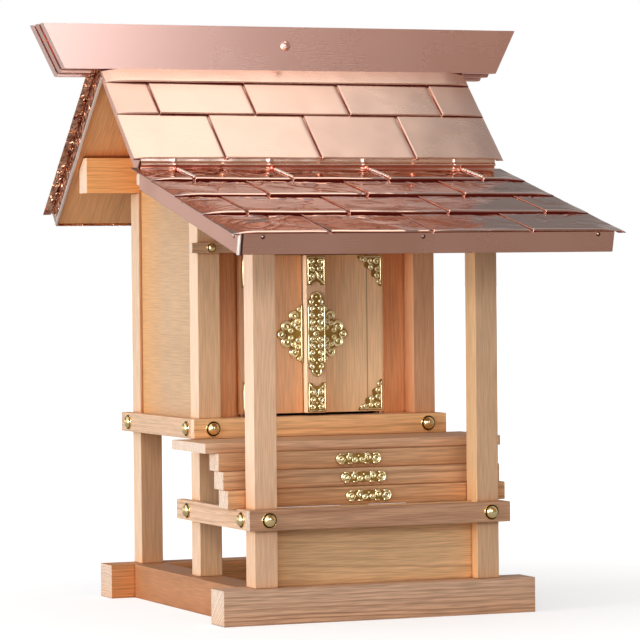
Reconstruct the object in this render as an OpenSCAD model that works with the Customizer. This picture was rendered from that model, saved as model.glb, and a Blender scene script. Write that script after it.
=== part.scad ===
// Small outdoor house shrine in plain wood with a copper roof.
// X is across, Y runs to the back, Z is up. All sizes are in millimetres.
// Inside the modules Y is measured from the front faces of the body posts.

/* [Body] */
// Width over the posts
body_w = 240; // [200:1:300]
// Depth over the body posts, front to back
body_d = 184; // [150:1:240]
// Side of each square post
post = 22; // [16:0.5:30]
// Top of the body posts, under the beams
post_top = 391; // [360:1:420]
// Front faces of the porch posts ahead of the body posts
porch_reach = 139.5; // [126:0.5:160]

/* [Base] */
// Side of each square sill
sill = 32; // [24:0.5:40]
// Length of the front and rear sills
sill_len = 306; // [280:1:360]
// Side sills stand out from the posts
sill_out = 9; // [3:0.5:12]
// Front sill stands out ahead of the porch posts
sill_lip = 7.5; // [2:0.5:9]
// Rear sill stands out behind the rear posts
sill_back = 5; // [2:0.5:9]

/* [Walls] */
// Thickness of the side and rear wall boards
wall_t = 9; // [6:0.5:12]
// Side walls stand back from the faces of the posts
wall_set = 3; // [1:0.5:6]
// Thickness of the floor board
floor_t = 10; // [6:0.5:14]
// Thickness of the front frame
frame_t = 6; // [5:0.5:10]

/* [Bands] */
// Thickness of the bands that wrap the posts
band_t = 8; // [5:0.5:11]
// Height of the floor band and the porch band
band_h = 18.4; // [14:0.2:22]
// Height of the upper band
upper_band_h = 9.6; // [8:0.2:14]
// Underside of the porch band
porch_band_z = 84; // [60:1:110]
// Underside of the upper band
upper_band_z = 332; // [325:0.5:345]
// Side floor bands run on behind the rear posts
band_tail = 10.5; // [4:0.5:20]
// Side porch bands run on behind the front posts
porch_tail = 18.4; // [6:0.2:40]
// Diameter of the domed nail heads
dome_d = 14.5; // [10:0.5:16]
// Diameter of the domed nail heads on the upper band
small_dome_d = 9; // [6:0.5:9.5]
// Height of the domed nail heads
dome_h = 5; // [3:0.5:6]

/* [Veranda and steps] */
// Length of the veranda board
veranda_len = 294; // [270:1:340]
// Depth of the veranda board
veranda_d = 87.5; // [80:0.5:93]
// Thickness of the veranda board
veranda_t = 9; // [6:0.5:12]
// Length of each step
step_len = 274; // [260:1:320]
// Height of each step
step_h = 16.2; // [12:0.2:20]
// Depth of each step board
step_d = 23; // [18:0.5:28]
// Each step stands ahead of the one above
step_run = 11.5; // [8:0.5:13]
// Porch panel stands back from the faces of the porch posts
panel_set = 11.5; // [6:0.5:12]
// Thickness of the porch panel
panel_t = 9; // [6:0.5:10]

/* [Doors] */
// Half of the width over both leaves
door_half = 74.3; // [60:0.1:85]
// Thickness of a leaf
leaf_t = 7; // [6:0.5:8]
// Front faces of the leaves behind the faces of the body posts
leaf_set = 13.5; // [12:0.5:14]
// Gap round the leaves
door_gap = 2.6; // [2:0.2:4]
// Gap behind the leaves and between them
leaf_gap = 0.9; // [0.6:0.1:0.9]
// Width of the batten over the meeting line
batten_w = 19; // [14:0.5:24]
// Thickness of the batten
batten_t = 9.6; // [6:0.2:11]
// Frame laps behind the leaves
frame_lap = 6; // [4:0.5:10]
// Diameter of the pivot pins
pin_d = 3; // [2:0.2:4]
// Length of the pins inside their holes
pin_in = 4; // [2:0.5:5]
// Clearance round the pins
pin_clear = 0.4; // [0.3:0.1:0.6]
// Thickness of the brass plates
plate_t = 1.2; // [0.8:0.1:2]
// Height of the side ornament on each leaf
wing_h = 55; // [40:1:70]
// Side ornament reaches out from the meeting batten
wing_w = 26; // [20:0.5:30]
// Width of a corner plate
corner_w = 24.5; // [16:0.5:26]
// Height of a corner plate
corner_h = 29; // [20:0.5:36]
// Length of the plates at the ends of the batten
end_plate_h = 27; // [20:0.5:30]
// Length of the long ornament on the batten
long_plate_h = 80; // [60:1:84]
// Length of the plate on each step
step_plate_w = 44; // [30:1:60]
// Height of the plate on each step
step_plate_h = 10; // [6:0.5:11]

/* [Main roof] */
// Pitch of the main roof in degrees
pitch = 43.6; // [40:0.1:46]
// Top of the roof boards at the ridge
apex_z = 522.1; // [515:0.1:530]
// Ridge behind the front faces of the body posts
apex_y = 95.3; // [90:0.1:100]
// Width of the copper over the gables
roof_w = 374; // [340:1:420]
// Copper stands out past the edging at the gables
verge_out = 8; // [4:0.5:12]
// Thickness of the roof boards
board_t = 17; // [14:0.5:18]
// Depth of the copper edging
edging_h = 19; // [18.5:0.5:24]
// Thickness of the copper edging
edging_t = 1.5; // [1:0.1:2]
// Length of the front slope, from the ridge down
front_run = 151.2; // [140:0.2:156]
// Length of the rear slope, from the ridge down
rear_run = 218; // [190:0.5:240]
// Length of the saddle strip, from the ridge down
saddle = 43.9; // [40:0.1:50]
// Lower edge of the first course, from the ridge down
first_course = 88.9; // [70:0.1:100]
// Copper stands out past the eave edging
eave_out = 3; // [2:0.5:6]
// Thin edge of each copper course
lap_thin = 0.8; // [0.6:0.1:1.2]
// Thick edge of each copper course
lap_thick = 2.8; // [2:0.1:3.4]
// Thickness of the saddle strip
saddle_t = 2.4; // [1.6:0.1:3]

/* [Porch roof] */
// Pitch of the porch roof in degrees
porch_pitch = 13.85; // [12:0.05:15]
// Top of the porch board in line with the body posts
porch_z = 412.2; // [408:0.1:413]
// Length of the porch slope, from the body posts down
porch_run = 275; // [240:0.5:300]
// Lower edges of the upper porch courses, from the body posts down
porch_laps = [63.9, 127.7, 200];
// Copper stands out past the front edging
porch_out = 6; // [3:0.5:9]
// Porch copper starts ahead of the body posts
porch_start = 7.5; // [7:0.1:10]

/* [Beams] */
// Top of the eave beams
beam_top = 425; // [420:0.5:428]
// Length of the rear beam
rear_beam_len = 345; // [260:1:350]
// Length of the front beam
front_beam_len = 320; // [250:1:340]
// Front beam stands back from the faces of the body posts
beam_set = 4; // [3.5:0.5:6]

/* [Ridge] */
// Length of the ridge at its top
ridge_top_len = 486; // [440:1:540]
// Length of the ridge at its bottom
ridge_low_len = 444; // [400:1:500]
// Underside of the front ridge cover
ridge_z = 505.8; // [504:0.1:508]
// Height of the front ridge cover
ridge_h = 42.2; // [34:0.2:50]
// Thickness of each ridge cover
cover_t = 10; // [8:0.5:12]
// Width of the centre strip
strip_t = 9; // [6:0.5:12]
// Width of each groove
groove = 6; // [4:0.5:8]
// Depth of the grooves
groove_in = 5; // [3:0.5:8]
// Centre strip hangs lower than the front cover
strip_drop = 3; // [0:0.5:5]
// Rear cover hangs lower than the front cover
rear_drop = 6; // [0:0.5:8]
// Diameter of the boss
boss_d = 10; // [6:0.5:16]
// Height of the boss
boss_h = 3; // [2:0.5:5]

/* [Hidden] */
$fn = 48;
wood = [0.80, 0.64, 0.46];
pale = [0.88, 0.74, 0.55];
copper = [0.72, 0.45, 0.36];
brass = [0.80, 0.62, 0.22];
half = body_w / 2;
in_half = half - post;
porch_back = post - porch_reach;
band_top_z = porch_band_z + band_h;
step_top_z = band_top_z + 3 * step_h;
floor_band_z = step_top_z + veranda_t;
floor_z = floor_band_z + band_h;
sill_in = half + sill_out - sill;
front_sill_y = -porch_reach - sill_lip;
rear_sill_y = body_d + sill_back - sill;
wall_out = half - wall_set;
wall_in = wall_out - wall_t;
rear_wall_y = body_d - post;
frame_y = leaf_set + leaf_t + leaf_gap;
axle = door_half - leaf_t / 2;
axle_y = leaf_set + leaf_t / 2;
leaf_low = floor_z + door_gap;
leaf_top = upper_band_z - door_gap;
leaf_mid = (leaf_low + leaf_top) / 2;
meet_x = -batten_w / 2 - leaf_gap / 2;
board_half = roof_w / 2 - verge_out;
front_edge = front_run - eave_out;
rear_edge = rear_run - eave_out;
porch_edge = porch_run - porch_out;
rear_courses = [first_course, (first_course + rear_run) / 2];
ridge_depth = 2 * cover_t + 2 * groove + strip_t;
ridge_y = apex_y - ridge_depth / 2;
lean = (ridge_top_len - ridge_low_len) / 2 / ridge_h;
far_front = porch_run * cos(porch_pitch) + lap_thick * sin(porch_pitch);
far_rear = apex_y + rear_run * cos(pitch) + lap_thick * sin(pitch);
body_y = (far_front - far_rear) / 2;

// Height of a level line on the main roof, n above the boards
function roof_z(y, n) = apex_z - abs(y - apex_y) * tan(pitch) + n / cos(pitch);

// Height of a level line on the porch roof, n above the board
function porch_roof_z(y, n) = porch_z + y * tan(porch_pitch) + n / cos(porch_pitch);

// Moves a piece from the body's own Y to the shared frame
module at_body() translate([0, body_y, 0]) children();

// A square-edged board between two corners
module board(a, b) at_body() translate(a) cube(b - a);

// A section drawn in Y and Z, run along X
module along_x(x0, x1) {
  at_body()
    translate([x0, 0, 0])
      rotate([90, 0, 90])
        linear_extrude(height = x1 - x0)
          children();
}

// An outline drawn in X and Z, run along Y
module along_y(y0, y1) {
  at_body()
    translate([0, y1, 0])
      rotate([90, 0, 0])
        linear_extrude(height = y1 - y0)
          children();
}

// Section of a rear slope: s runs down from the ridge, n rises from the boards
module rear_slope() translate([apex_y, apex_z]) rotate(-pitch) children();

// Section of a front slope, the mirror of the rear one
module front_slope() translate([apex_y, apex_z]) mirror([1, 0]) rotate(-pitch) children();

// Section of the porch slope, from the line of the body posts down
module porch_slope() translate([0, porch_z]) mirror([1, 0]) rotate(-porch_pitch) children();

// Layer of a main slope between two levels, cut plumb at the ridge
module slope_layer(run, low, high) {
  polygon([[-low * tan(pitch), low], [run, low], [run, high], [-high * tan(pitch), high]]);
}

// Courses of copper that lap over one another, each thin at its top
module course(from, to) {
  polygon([[from, 0], [to, 0], [to, lap_thick], [from, lap_thin]]);
}

module main_copper(laps, run) {
  edges = concat([saddle], laps, [run]);
  polygon([[0, 0], [saddle, 0], [saddle, saddle_t], [-saddle_t * tan(pitch), saddle_t]]);
  for (i = [0 : len(edges) - 2]) course(edges[i], edges[i + 1]);
}

// Base
module front_sill() {
  color(wood)
    board([-sill_len / 2, front_sill_y, 0], [sill_len / 2, front_sill_y + sill, sill]);
}

module rear_sill() {
  color(wood)
    board([-sill_len / 2, rear_sill_y, 0], [sill_len / 2, rear_sill_y + sill, sill]);
}

module side_sill() {
  board([sill_in, front_sill_y + sill, 0], [sill_in + sill, rear_sill_y, sill]);
}

module left_sill() color(wood) mirror([1, 0, 0]) side_sill();

module right_sill() color(wood) side_sill();

// Posts
module body_post(y) board([in_half, y, sill], [half, y + post, post_top]);

module rear_left_post() color(wood) mirror([1, 0, 0]) body_post(rear_wall_y);

module rear_right_post() color(wood) body_post(rear_wall_y);

module front_left_post() color(wood) mirror([1, 0, 0]) body_post(0);

module front_right_post() color(wood) body_post(0);

// Each porch post is cut at its top to lie under the porch board
module porch_post() {
  along_x(in_half, half)
    polygon([[-porch_reach, sill], [porch_back, sill],
      [porch_back, porch_roof_z(porch_back, -board_t)],
      [-porch_reach, porch_roof_z(-porch_reach, -board_t)]]);
}

module porch_left_post() color(wood) mirror([1, 0, 0]) porch_post();

module porch_right_post() color(wood) porch_post();

// Walls, each side wall with its gable in one board
module side_wall() {
  along_x(wall_in, wall_out)
    polygon([[post, floor_band_z], [rear_wall_y, floor_band_z],
      [rear_wall_y, roof_z(rear_wall_y, -board_t)], [apex_y, roof_z(apex_y, -board_t)],
      [post, roof_z(post, -board_t)]]);
}

module left_wall() color(pale) mirror([1, 0, 0]) side_wall();

module right_wall() color(pale) side_wall();

module rear_wall() {
  color(pale)
    board([-in_half, rear_wall_y, floor_band_z], [in_half, rear_wall_y + wall_t, post_top]);
}

module floor_board() {
  color(wood)
    board([-wall_in, frame_y + frame_t, floor_z - floor_t], [wall_in, rear_wall_y, floor_z]);
}

// Front frame with the doorway, its sill and head, and holes for the pivot pins
module front_frame() {
  lap_half = door_half - frame_lap;
  color(pale)
    difference() {
      union() {
        board([-in_half, frame_y, floor_band_z], [in_half, frame_y + frame_t, post_top]);
        board([-in_half, 0, floor_z - floor_t], [in_half, frame_y + 1, floor_z]);
        board([-in_half, 0, upper_band_z], [in_half, frame_y + 1, upper_band_z + upper_band_h]);
      }
      board([-lap_half, frame_y - 1, floor_z], [lap_half, frame_y + frame_t + 1, leaf_top - frame_lap]);
      for (side = [-1, 1]) {
        for (z = [floor_z - pin_in - 1, upper_band_z - 1])
          at_body()
            translate([side * axle, axle_y, z])
              cylinder(h = pin_in + 2, d = pin_d + 2 * pin_clear);
      }
    }
}

// Door leaves, each rounded round its pivot
module leaf(inner) {
  at_body() {
    translate([0, 0, leaf_low])
      linear_extrude(height = leaf_top - leaf_low)
        union() {
          translate([inner, leaf_set]) square([axle - inner, leaf_t]);
          translate([axle, axle_y]) circle(d = leaf_t);
        }
    translate([axle, axle_y, floor_z - pin_in])
      cylinder(h = leaf_top - leaf_low + 2 * (door_gap + pin_in), d = pin_d);
  }
}

module left_door() color(pale) mirror([1, 0, 0]) leaf(-meet_x + leaf_gap / 2);

module right_door() color(pale) leaf(meet_x + leaf_gap / 2);

module door_batten() {
  color(pale)
    board([-batten_w / 2, leaf_set - batten_t, leaf_low], [batten_w / 2, leaf_set, leaf_top]);
}

// Half of a pointed ornament that steps out in lobes like a cloud
module wing_outline(reach, height) {
  lobe = height / 6;
  polygon([[0, -height / 2], [reach * 0.3, -height * 0.36], [reach * 0.3, height * 0.36], [0, height / 2]]);
  translate([0, -height * 0.23]) square([reach * 0.62, height * 0.46]);
  for (s = [-1, 1]) {
    translate([reach * 0.5 - lobe / 2, s * height * 0.31]) circle(d = lobe);
    translate([reach * 0.8 - lobe / 2, s * height * 0.13]) circle(d = lobe * 1.1);
  }
  translate([reach - lobe / 2, 0]) circle(d = lobe);
}

// Corner plate with a scalloped long side
module corner_outline() {
  lobe = corner_w / 4;
  intersection() {
    union() {
      polygon([[0, 0], [corner_w - lobe / 2, 0], [0, corner_h - lobe / 2]]);
      for (i = [0 : 3])
        translate([(corner_w - lobe / 2) * i / 3, (corner_h - lobe / 2) * (1 - i / 3)])
          circle(d = lobe);
    }
    square([corner_w, corner_h]);
  }
}

// Brass on one leaf: two corner plates and one side ornament
module leaf_plates(inner) {
  edge = 1.2;
  along_y(leaf_set - plate_t, leaf_set) {
    translate([door_half - leaf_t / 2, leaf_low + edge]) mirror([1, 0]) corner_outline();
    translate([door_half - leaf_t / 2, leaf_top - edge]) rotate(180) corner_outline();
    translate([inner, leaf_mid]) wing_outline(wing_w, wing_h);
  }
}

module left_door_plates() color(brass) mirror([1, 0, 0]) leaf_plates(-meet_x + leaf_gap / 2);

module right_door_plates() color(brass) leaf_plates(batten_w / 2);

// Plate at one end of the batten, its inner end notched by an arc
module end_plate_outline(wide) {
  difference() {
    translate([-wide / 2, 0]) square([wide, end_plate_h]);
    translate([0, end_plate_h + wide * 0.12]) circle(d = wide * 0.62);
  }
}

// Long plate with a three-lobed tip at each end
module long_plate_outline(wide) {
  body = long_plate_h * 0.69;
  tip = wide * 0.6;
  square([wide, body], center = true);
  square([wide * 0.5, long_plate_h - tip], center = true);
  for (s = [-1, 1]) {
    translate([0, s * (long_plate_h - tip) / 2]) circle(d = tip);
    for (t = [-1, 1])
      translate([t * wide * 0.24, s * (body / 2 + wide * 0.17)]) circle(d = wide * 0.42);
  }
}

module batten_plates() {
  edge = 1.2;
  wide = batten_w - 1.2;
  face_y = leaf_set - batten_t;
  color(brass)
    along_y(face_y - plate_t, face_y) {
      translate([0, leaf_low + edge]) end_plate_outline(wide);
      translate([0, leaf_top - edge]) mirror([0, 1]) end_plate_outline(wide);
      translate([0, leaf_mid]) long_plate_outline(wide);
    }
}

// Bands
module side_band(z, y0, y1) board([half, y0, z], [half + band_t, y1, z + band_h]);

module front_band(y, z, h) {
  board([-half - band_t, y - band_t, z], [half + band_t, y, z + h]);
}

module floor_band_front() color(wood) front_band(0, floor_band_z, band_h);

module floor_band_left() {
  color(wood) mirror([1, 0, 0]) side_band(floor_band_z, 0, body_d + band_tail);
}

module floor_band_right() color(wood) side_band(floor_band_z, 0, body_d + band_tail);

module upper_band() color(wood) front_band(0, upper_band_z, upper_band_h);

module porch_band_front() color(wood) front_band(-porch_reach, porch_band_z, band_h);

module porch_band_left() {
  color(wood) mirror([1, 0, 0]) side_band(porch_band_z, -porch_reach, post + porch_tail);
}

module porch_band_right() {
  color(wood) side_band(porch_band_z, -porch_reach, post + porch_tail);
}

// Domed nail heads, one over each post
module dome(d, h) {
  r = (d * d / 4 + h * h) / (2 * h);
  intersection() {
    translate([0, 0, h - r]) sphere(r = r);
    translate([-d, -d, 0]) cube([2 * d, 2 * d, 2 * h]);
  }
}

module front_dome(x, y, z, d, h) at_body() translate([x, y, z]) rotate([90, 0, 0]) dome(d, h);

module side_dome(y, z) {
  at_body() translate([half + band_t, y, z]) rotate([0, 90, 0]) dome(dome_d, dome_h);
}

module band_domes() {
  floor_mid = floor_band_z + band_h / 2;
  porch_mid = porch_band_z + band_h / 2;
  upper_mid = upper_band_z + upper_band_h / 2;
  color(brass)
    for (s = [0, 1])
      mirror([s, 0, 0]) {
        front_dome(half - post / 2, -band_t, floor_mid, dome_d, dome_h);
        front_dome(half - post / 2, -band_t, upper_mid, small_dome_d, dome_h * 0.8);
        front_dome(half - post / 2, -porch_reach - band_t, porch_mid, dome_d, dome_h);
        side_dome(post / 2, floor_mid);
        side_dome(body_d - post / 2, floor_mid);
        side_dome(post / 2, porch_mid);
        side_dome(-porch_reach + post / 2, porch_mid);
      }
}

// Veranda and steps, the lowest step behind the porch posts
module veranda_board() {
  color(wood)
    board([-veranda_len / 2, -veranda_d, step_top_z], [veranda_len / 2, 0, floor_band_z]);
}

module step(up) {
  y = porch_back + up * step_run;
  z = band_top_z + up * step_h;
  board([-step_len / 2, y, z], [step_len / 2, y + step_d, z + step_h]);
}

module upper_step() color(wood) step(2);

module middle_step() color(wood) step(1);

module lower_step() color(wood) step(0);

// Brass plates on the steps, scalloped along both edges
module step_plates() {
  lobes = 5;
  pace = (step_plate_w - step_plate_h) / (lobes - 1);
  color(brass)
    for (up = [0 : 2]) {
      y = porch_back + up * step_run;
      z = band_top_z + (up + 0.5) * step_h;
      along_y(y - plate_t, y)
        translate([0, z]) {
          square([step_plate_w - step_plate_h, step_plate_h * 0.8], center = true);
          for (i = [0 : lobes - 1])
            translate([(i - (lobes - 1) / 2) * pace, 0]) circle(d = step_plate_h);
        }
    }
}

module porch_panel() {
  y = -porch_reach + panel_set;
  color(wood) board([-in_half, y, sill], [in_half, y + panel_t, band_top_z]);
}

// Beams under the eaves, cut to the slope of the boards
module front_beam() {
  color(wood)
    along_x(-front_beam_len / 2, front_beam_len / 2)
      intersection() {
        translate([beam_set, post_top]) square([post - beam_set, beam_top - post_top]);
        front_slope() slope_layer(2 * front_run, -2 * front_run, -board_t);
      }
}

module rear_beam() {
  color(wood)
    along_x(-rear_beam_len / 2, rear_beam_len / 2)
      intersection() {
        translate([rear_wall_y, post_top]) square([post, beam_top - post_top]);
        rear_slope() slope_layer(2 * rear_run, -2 * rear_run, -board_t);
      }
}

// Main roof
module main_front_board() {
  inner = board_half - edging_t;
  color(wood)
    along_x(-inner, inner)
      front_slope() slope_layer(front_edge - edging_t, -board_t, 0);
}

module main_rear_board() {
  inner = board_half - edging_t;
  color(wood)
    along_x(-inner, inner)
      rear_slope() slope_layer(rear_edge - edging_t, -board_t, 0);
}

// Copper edging down both gables and along the eave
module main_front_edging() {
  inner = board_half - edging_t;
  color(copper)
    difference() {
      along_x(-board_half, board_half) front_slope() slope_layer(front_edge, -edging_h, 0);
      along_x(-inner, inner)
        front_slope()
          translate([-2 * front_run, -2 * edging_h])
            square([2 * front_run + front_edge - edging_t, 3 * edging_h]);
    }
}

module main_rear_edging() {
  inner = board_half - edging_t;
  color(copper)
    difference() {
      along_x(-board_half, board_half) rear_slope() slope_layer(rear_edge, -edging_h, 0);
      along_x(-inner, inner)
        rear_slope()
          translate([-2 * rear_run, -2 * edging_h])
            square([2 * rear_run + rear_edge - edging_t, 3 * edging_h]);
    }
}

module main_front_copper() {
  color(copper)
    along_x(-roof_w / 2, roof_w / 2) front_slope() main_copper([first_course], front_run);
}

module main_rear_copper() {
  color(copper)
    along_x(-roof_w / 2, roof_w / 2) rear_slope() main_copper(rear_courses, rear_run);
}

// Porch roof, its board cut back to pass under the main eave
module porch_board() {
  inner = board_half - edging_t;
  under_y = apex_y - front_edge * cos(pitch) + edging_h * sin(pitch);
  under_z = roof_z(under_y, 0) - edging_h / cos(pitch);
  color(wood)
    along_x(-inner, inner)
      difference() {
        porch_slope()
          translate([-2 * post, -board_t]) square([porch_edge - edging_t + 2 * post, board_t]);
        translate([beam_set, 0]) square([4 * post, 2 * apex_z]);
        polygon([[-porch_start, porch_roof_z(-porch_start, 0)], [under_y - 1, under_z - 1],
          [beam_set + 1, under_z - 1], [beam_set + 1, apex_z], [-porch_start, apex_z]]);
      }
}

module porch_edging() {
  inner = board_half - edging_t;
  color(copper)
    difference() {
      along_x(-board_half, board_half)
        intersection() {
          porch_slope() translate([0, -edging_h]) square([porch_edge, edging_h]);
          translate([-2 * porch_run, 0]) square([2 * porch_run - porch_start, 2 * apex_z]);
        }
      along_x(-inner, inner)
        porch_slope()
          translate([-porch_run, -2 * edging_h])
            square([porch_run + porch_edge - edging_t, 3 * edging_h]);
    }
}

module porch_copper() {
  edges = concat([porch_start / cos(porch_pitch)], porch_laps, [porch_run]);
  color(copper)
    along_x(-roof_w / 2, roof_w / 2)
      porch_slope()
        for (i = [0 : len(edges) - 2]) course(edges[i], edges[i + 1]);
}

// Ridge box, open in front of the grooves, seated on the saddle strip
module ridge_outline(drop, inset) {
  low = ridge_low_len / 2 - drop * lean;
  top = ridge_top_len / 2;
  dx = inset * sqrt(1 + lean * lean);
  polygon([[-low + dx - inset * lean, ridge_z - drop + inset],
    [low - dx + inset * lean, ridge_z - drop + inset],
    [top - dx - inset * lean, ridge_z + ridge_h - inset],
    [-top + dx + inset * lean, ridge_z + ridge_h - inset]]);
}

module saddle_cut() {
  along_x(-roof_w / 2, roof_w / 2)
    polygon([[apex_y, roof_z(apex_y, saddle_t)],
      [apex_y + ridge_depth, roof_z(apex_y + ridge_depth, saddle_t)],
      [apex_y + ridge_depth, ridge_z - 3 * ridge_h],
      [apex_y - ridge_depth, ridge_z - 3 * ridge_h],
      [apex_y - ridge_depth, roof_z(apex_y - ridge_depth, saddle_t)]]);
}

module ridge_front_cover() {
  color(copper)
    difference() {
      along_y(ridge_y, ridge_y + cover_t) ridge_outline(0, 0);
      saddle_cut();
    }
}

module ridge_core() {
  y0 = ridge_y + cover_t;
  color(copper)
    difference() {
      union() {
        along_y(y0, y0 + 2 * groove + strip_t) ridge_outline(strip_drop, groove_in);
        along_y(y0 + groove, y0 + groove + strip_t) ridge_outline(strip_drop, 0);
      }
      saddle_cut();
    }
}

module ridge_rear_cover() {
  y0 = ridge_y + ridge_depth - cover_t;
  color(copper)
    difference() {
      along_y(y0, y0 + cover_t) ridge_outline(rear_drop, 0);
      saddle_cut();
    }
}

module ridge_boss() {
  color(copper)
    front_dome(0, ridge_y, ridge_z + 0.57 * ridge_h, boss_d, boss_h);
}

front_sill();
rear_sill();
left_sill();
right_sill();
rear_left_post();
rear_right_post();
front_left_post();
front_right_post();
porch_left_post();
porch_right_post();
left_wall();
right_wall();
rear_wall();
floor_board();
front_frame();
left_door();
left_door_plates();
right_door();
right_door_plates();
door_batten();
batten_plates();
floor_band_front();
floor_band_left();
floor_band_right();
upper_band();
porch_band_front();
porch_band_left();
porch_band_right();
band_domes();
veranda_board();
upper_step();
middle_step();
lower_step();
step_plates();
porch_panel();
front_beam();
rear_beam();
main_front_board();
main_rear_board();
main_front_edging();
main_rear_edging();
main_front_copper();
main_rear_copper();
porch_board();
porch_edging();
porch_copper();
ridge_front_cover();
ridge_core();
ridge_rear_cover();
ridge_boss();
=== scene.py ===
# %% [markdown]
# # Dressing a small copper-roofed house shrine
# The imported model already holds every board, post and door in the right place. This lesson
# gives those pieces the look of planed cypress, bright copper sheet and gilt brass. Pieces
# that are too fine for solids, such as lapped sheets and scrollwork, are made here as meshes.

# %% Load the frame
import math
import random

import bmesh
import bpy
from mathutils import Euler, Matrix, Vector, noise


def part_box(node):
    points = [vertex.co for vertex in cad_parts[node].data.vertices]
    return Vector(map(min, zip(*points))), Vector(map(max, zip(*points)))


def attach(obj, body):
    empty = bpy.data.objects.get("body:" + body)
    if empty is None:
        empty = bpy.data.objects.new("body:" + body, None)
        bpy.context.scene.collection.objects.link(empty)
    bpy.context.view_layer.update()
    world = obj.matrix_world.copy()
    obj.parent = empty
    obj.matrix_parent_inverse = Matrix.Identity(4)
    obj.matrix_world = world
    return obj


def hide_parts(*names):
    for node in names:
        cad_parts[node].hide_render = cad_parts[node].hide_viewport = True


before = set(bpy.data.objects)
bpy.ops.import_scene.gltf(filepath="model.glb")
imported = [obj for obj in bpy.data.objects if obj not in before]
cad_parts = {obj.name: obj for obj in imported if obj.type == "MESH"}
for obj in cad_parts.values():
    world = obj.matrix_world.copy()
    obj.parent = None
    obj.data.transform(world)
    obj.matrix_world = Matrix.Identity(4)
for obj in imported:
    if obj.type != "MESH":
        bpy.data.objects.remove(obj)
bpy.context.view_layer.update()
MM = 0.001
front_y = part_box("front_left_post")[0].y
print("loaded", len(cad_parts), "nodes; body posts face the front at y =", round(front_y, 5))

# %% [markdown]
# ## Camera
# The view was fitted to the edges of the body, so the camera stands far off to the left of
# the doors with a long lens. Writing its three axes as a matrix keeps the small roll, which
# three rounded angles would lose. A slight shift stands for the off-centre framing.

# %% Place the camera
eye = bpy.data.cameras.new("camera")
eye.sensor_width = 36
eye.lens = 199.457
eye.shift_x = 0.03065
eye.shift_y = -0.00599
eye.clip_end = 60
camera = bpy.data.objects.new("camera", eye)
right = Vector((0.92649081, -0.37619911, -0.00943426))
up = Vector((0.01447759, 0.01058113, 0.99983921))
back = -Vector((0.3760388, 0.92647842, -0.01524978))
turn = Matrix((right, up, back)).transposed().to_4x4()
camera.matrix_world = Matrix.Translation((-1.266835, -3.071707, 0.322856)) @ turn
bpy.context.scene.collection.objects.link(camera)
bpy.context.scene.camera = camera
print("camera at", [round(v, 3) for v in camera.location], "lens", eye.lens, "mm")


# %% [markdown]
# ## A short way to write nodes
# Every finish below is a small web of shader nodes. One helper makes a node, sets its
# options, and either links or fills each of its inputs, so a finish reads from top to bottom.

# %% Node helpers
def add(tree, kind, inputs=None, **options):
    node = tree.nodes.new(kind)
    for key, value in options.items():
        setattr(node, key, value)
    for key, value in (inputs or {}).items():
        if isinstance(value, bpy.types.NodeSocket):
            tree.links.new(value, node.inputs[key])
        else:
            node.inputs[key].default_value = value
    return node


def sums(tree, operation, a, b=0.0):
    return add(tree, "ShaderNodeMath", {0: a, 1: b}, operation=operation).outputs[0]


def split(tree, vector):
    return add(tree, "ShaderNodeSeparateXYZ", {0: vector}).outputs


def ramp(tree, value, low, high, to_low=0.0, to_high=1.0):
    inputs = {"Value": value, "From Min": low, "From Max": high, "To Min": to_low, "To Max": to_high}
    return add(tree, "ShaderNodeMapRange", inputs, interpolation_type="SMOOTHSTEP").outputs[0]


def blend(tree, share, a, b, mode="MIX"):
    node = add(tree, "ShaderNodeMix", data_type="RGBA", blend_type=mode)
    for socket, value in ((node.inputs[0], share), (node.inputs[6], a), (node.inputs[7], b)):
        if isinstance(value, bpy.types.NodeSocket):
            tree.links.new(value, socket)
        else:
            socket.default_value = value if isinstance(value, float) else (*value, 1.0)
    return node.outputs[2]


def fuzz(tree, vector, scale, detail=3.0, rough=0.5):
    inputs = {"Vector": vector, "Scale": scale, "Detail": detail, "Roughness": rough}
    return add(tree, "ShaderNodeTexNoise", inputs).outputs["Fac"]


def stretch(tree, vector, scale):
    node = add(tree, "ShaderNodeVectorMath", {0: vector, 1: scale}, operation="MULTIPLY")
    return node.outputs[0]


def openness(tree, distance, samples):
    """1 in the open, falling towards 0 where other faces lie within the distance."""
    return add(tree, "ShaderNodeAmbientOcclusion", {"Distance": distance}, samples=samples).outputs["AO"]


def emboss(tree, shader, height, strength, depth):
    inputs = {"Height": height, "Strength": strength, "Distance": depth}
    tree.links.new(add(tree, "ShaderNodeBump", inputs).outputs[0], shader.inputs["Normal"])


def new_group(name, inputs, outputs):
    tree = bpy.data.node_groups.new(name, "ShaderNodeTree")
    for label, kind, value in inputs:
        socket = tree.interface.new_socket(label, in_out="INPUT", socket_type=kind)
        if value is not None:
            socket.default_value = value
    for label, kind in outputs:
        tree.interface.new_socket(label, in_out="OUTPUT", socket_type=kind)
    return tree, tree.nodes.new("NodeGroupInput").outputs, tree.nodes.new("NodeGroupOutput").inputs


def place_group(tree, group, inputs):
    return add(tree, "ShaderNodeGroup", inputs, node_tree=group).outputs


def new_finish(name):
    finish = bpy.data.materials.new(name)
    finish.use_nodes = True
    tree = finish.node_tree
    shader = tree.nodes["Principled BSDF"]
    here = add(tree, "ShaderNodeTexCoord").outputs["Object"]
    return finish, tree, shader, here


VALUE, POINT = "NodeSocketFloat", "NodeSocketVector"
print("node helpers ready")

# %% [markdown]
# ## Floor and light
# The shrine stands on a plain pale floor that fades into a white room. Bright copper is lit by
# what it mirrors, so the light is mostly a room with walls of different tone: a bright wall at
# the left, a dim warm one in front, a dark one high at the back. Five soft boxes add to it. The
# key box lights the wood from the left and isn't mirrored, the side box is seen in mirrors only
# and gives the brass its highlights, and the glint box warms the front. The other two stand
# where the ridge and the main slope mirror them, so the copper darkens from left to right.

# %% Floor
FLOOR_RADIUS = 40.0
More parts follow.
